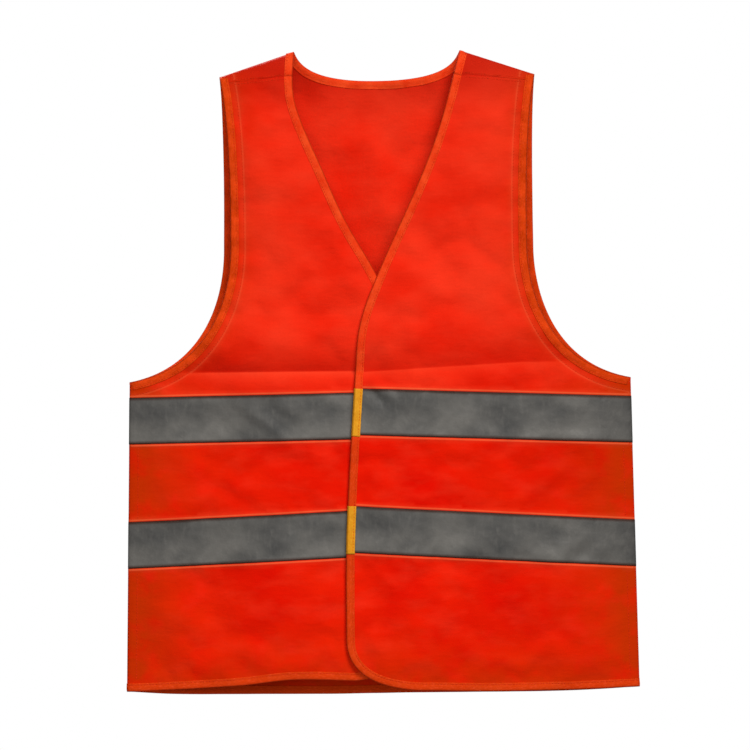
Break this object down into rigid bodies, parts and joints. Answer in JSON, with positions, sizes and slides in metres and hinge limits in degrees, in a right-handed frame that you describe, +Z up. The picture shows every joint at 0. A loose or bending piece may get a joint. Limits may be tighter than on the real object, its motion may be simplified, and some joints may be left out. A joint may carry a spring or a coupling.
{
  "type": "high visibility vest",
  "caption": "Sleeveless safety vest with lapped fronts that fold open, bound edges and reflective tapes round the body.",
  "frame": {"origin": "middle of the shoulder line, at the height of the neck points, where a hanger or the wearer's shoulders hold the vest", "axes": "+Z up, -Y the front of the vest, +X the wearer's left"},
  "size_m": [0.5464, 0.0589, 0.6871],
  "materials": {
    "shell_fabric": "bright orange-red polyester knit, matt",
    "binding": "orange woven binding tape, matt",
    "amber_binding": "amber woven binding tape, matt",
    "reflective_tape": "grey retroreflective tape, satin",
    "hook": "hook pile",
    "loop": "loop pile"
  },
  "bodies": {
    "body": {"back_panel": "shell_fabric", "back_neck_binding": "binding", "back_hem_binding": "binding", "back_tape_upper": "reflective_tape", "back_tape_lower": "reflective_tape", "left_front_side_panel": "shell_fabric", "left_neckline_binding": "binding", "left_hem_binding_side": "binding", "left_armhole_binding": "binding", "left_side_seam": "shell_fabric", "left_shoulder_seam": "shell_fabric", "left_tape_upper_side": "reflective_tape", "left_tape_lower_side": "reflective_tape", "right_front_side_panel": "shell_fabric", "right_neckline_binding": "binding", "right_hem_binding_side": "binding", "right_armhole_binding": "binding", "right_side_seam": "shell_fabric", "right_shoulder_seam": "shell_fabric", "right_tape_upper_side": "reflective_tape", "right_tape_lower_side": "reflective_tape"},
    "left_flap": {"left_front_panel": "shell_fabric", "left_tape_upper": "reflective_tape", "left_tape_lower": "reflective_tape", "tape_end_cover_upper": "amber_binding", "tape_end_cover_lower": "amber_binding", "left_front_edge_binding": "binding", "hook_patch_upper": "hook", "hook_patch_lower": "hook"},
    "right_flap": {"right_front_panel": "shell_fabric", "right_tape_upper": "reflective_tape", "right_tape_lower": "reflective_tape", "right_front_edge_binding": "binding", "loop_patch_upper": "loop", "loop_patch_lower": "loop"}
  },
  "joints": [
    {"name": "left_front_opening", "type": "hinge", "parent": "body", "child": "left_flap", "pos_m": [0.062, -0.0255, -0.027], "axis": [-0.2281, -0.0052, 0.9736], "range_deg": [0, 160], "stiffness_Nm_per_rad": 0.01},
    {"name": "right_front_opening", "type": "hinge", "parent": "body", "child": "right_flap", "pos_m": [-0.07, -0.0255, -0.027], "axis": [-0.2168, 0.0052, -0.9762], "range_deg": [0, 100], "stiffness_Nm_per_rad": 0.01}
  ],
  "couplings": [
    {"joint": "right_front_opening", "follows": "left_front_opening", "ratio": 0.6}
  ]
}
